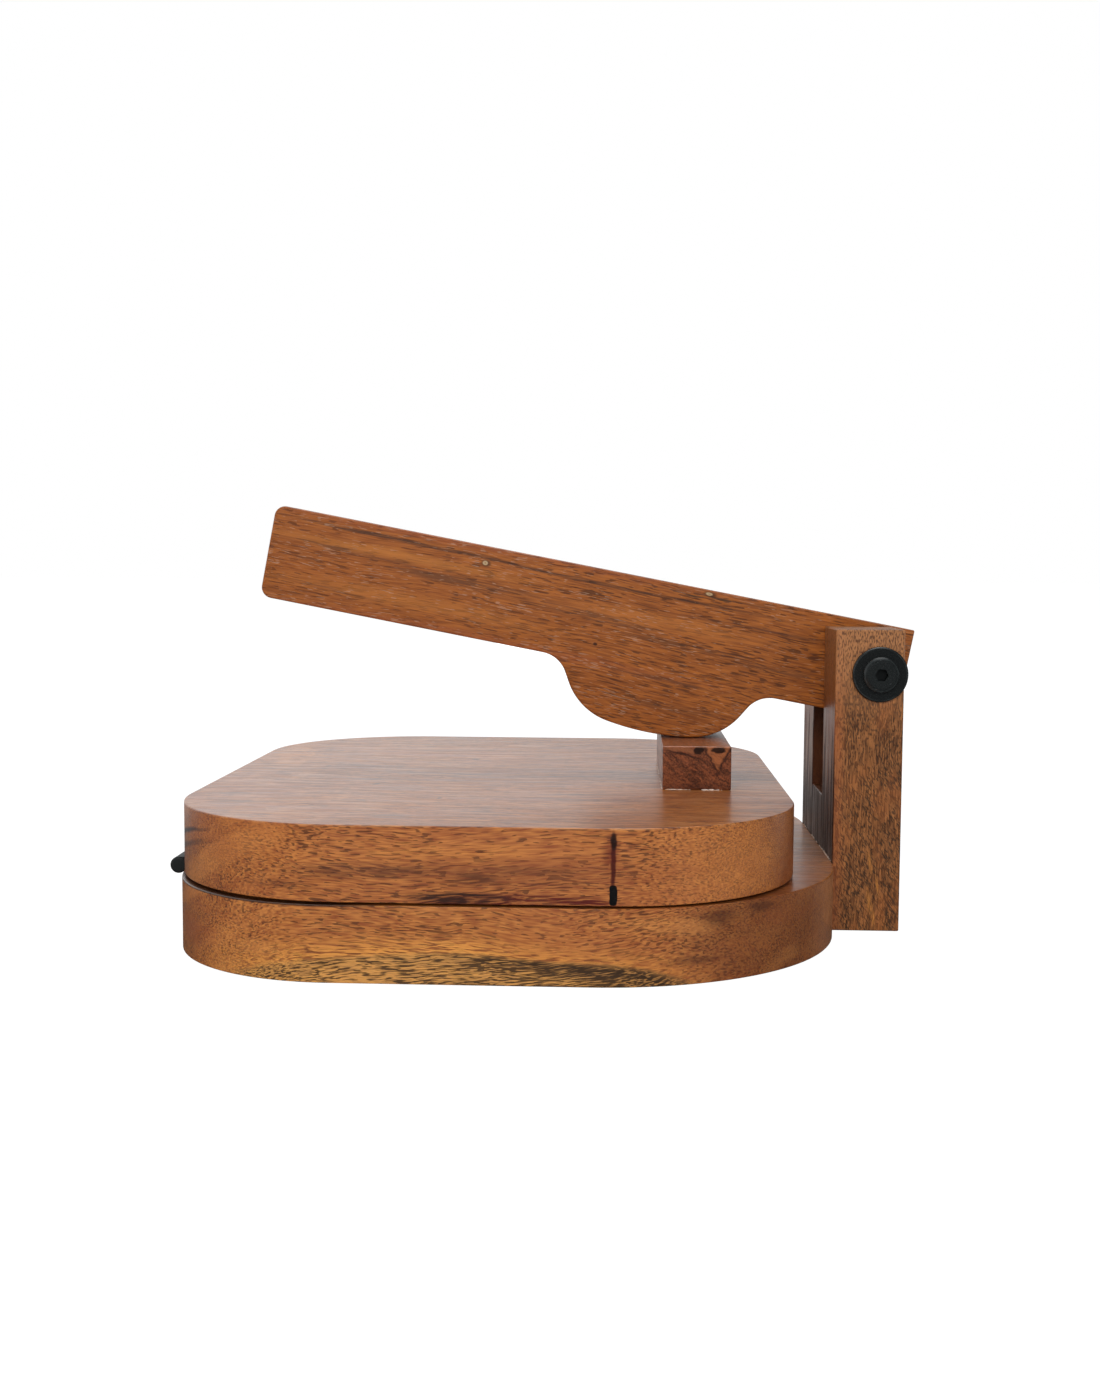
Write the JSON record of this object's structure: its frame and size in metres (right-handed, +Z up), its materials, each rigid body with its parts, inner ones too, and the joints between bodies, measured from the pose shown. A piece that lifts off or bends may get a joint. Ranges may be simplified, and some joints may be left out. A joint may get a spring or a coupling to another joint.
{
  "type": "tortilla press",
  "caption": "Wooden tortilla press with a hinged top plate, a slotted post and a lever that bears on a block on the plate.",
  "frame": {"origin": "middle of the base board's underside, on the table", "axes": "+X from the hinges to the post, along the lever; +Y across the boards, away from the bolt's head; +Z up"},
  "size_m": [0.3233, 0.312, 0.1846],
  "materials": {
    "board_wood": "semi-gloss varnish",
    "post_wood": "semi-gloss varnish",
    "block_wood": "semi-gloss varnish",
    "lever_wood": "semi-gloss varnish",
    "dowel_wood": "matte",
    "black_metal": "satin black"
  },
  "bodies": {
    "base": {"base_board": "board_wood", "upright_post": "post_wood", "post_dowels": "dowel_wood", "pivot_bolt": "black_metal", "pivot_washers": "black_metal", "pivot_cap_nut": "black_metal", "front_hinge_base_leaf": "black_metal", "rear_hinge_base_leaf": "black_metal", "front_hinge_pin": "black_metal", "rear_hinge_pin": "black_metal", "base_leaf_screws": "black_metal"},
    "plate": {"top_plate": "board_wood", "pressure_block": "block_wood", "front_hinge_plate_leaf": "black_metal", "rear_hinge_plate_leaf": "black_metal", "plate_leaf_screws": "black_metal"},
    "lever": {"lever": "lever_wood"}
  },
  "joints": [
    {"name": "plate_hinge", "type": "hinge", "parent": "base", "child": "plate", "pos_m": [-0.1417, 0, 0.0305], "axis": [0, -1, 0], "range_deg": [0, 58.75]},
    {"name": "lever_pivot", "type": "hinge", "parent": "base", "child": "lever", "pos_m": [0.1565, 0, 0.1122], "axis": [0, 1, 0], "range_deg": [0, 188]}
  ],
  "couplings": [
    {"joint": "lever_pivot", "follows": "plate_hinge", "ratio": 3.2}
  ]
}
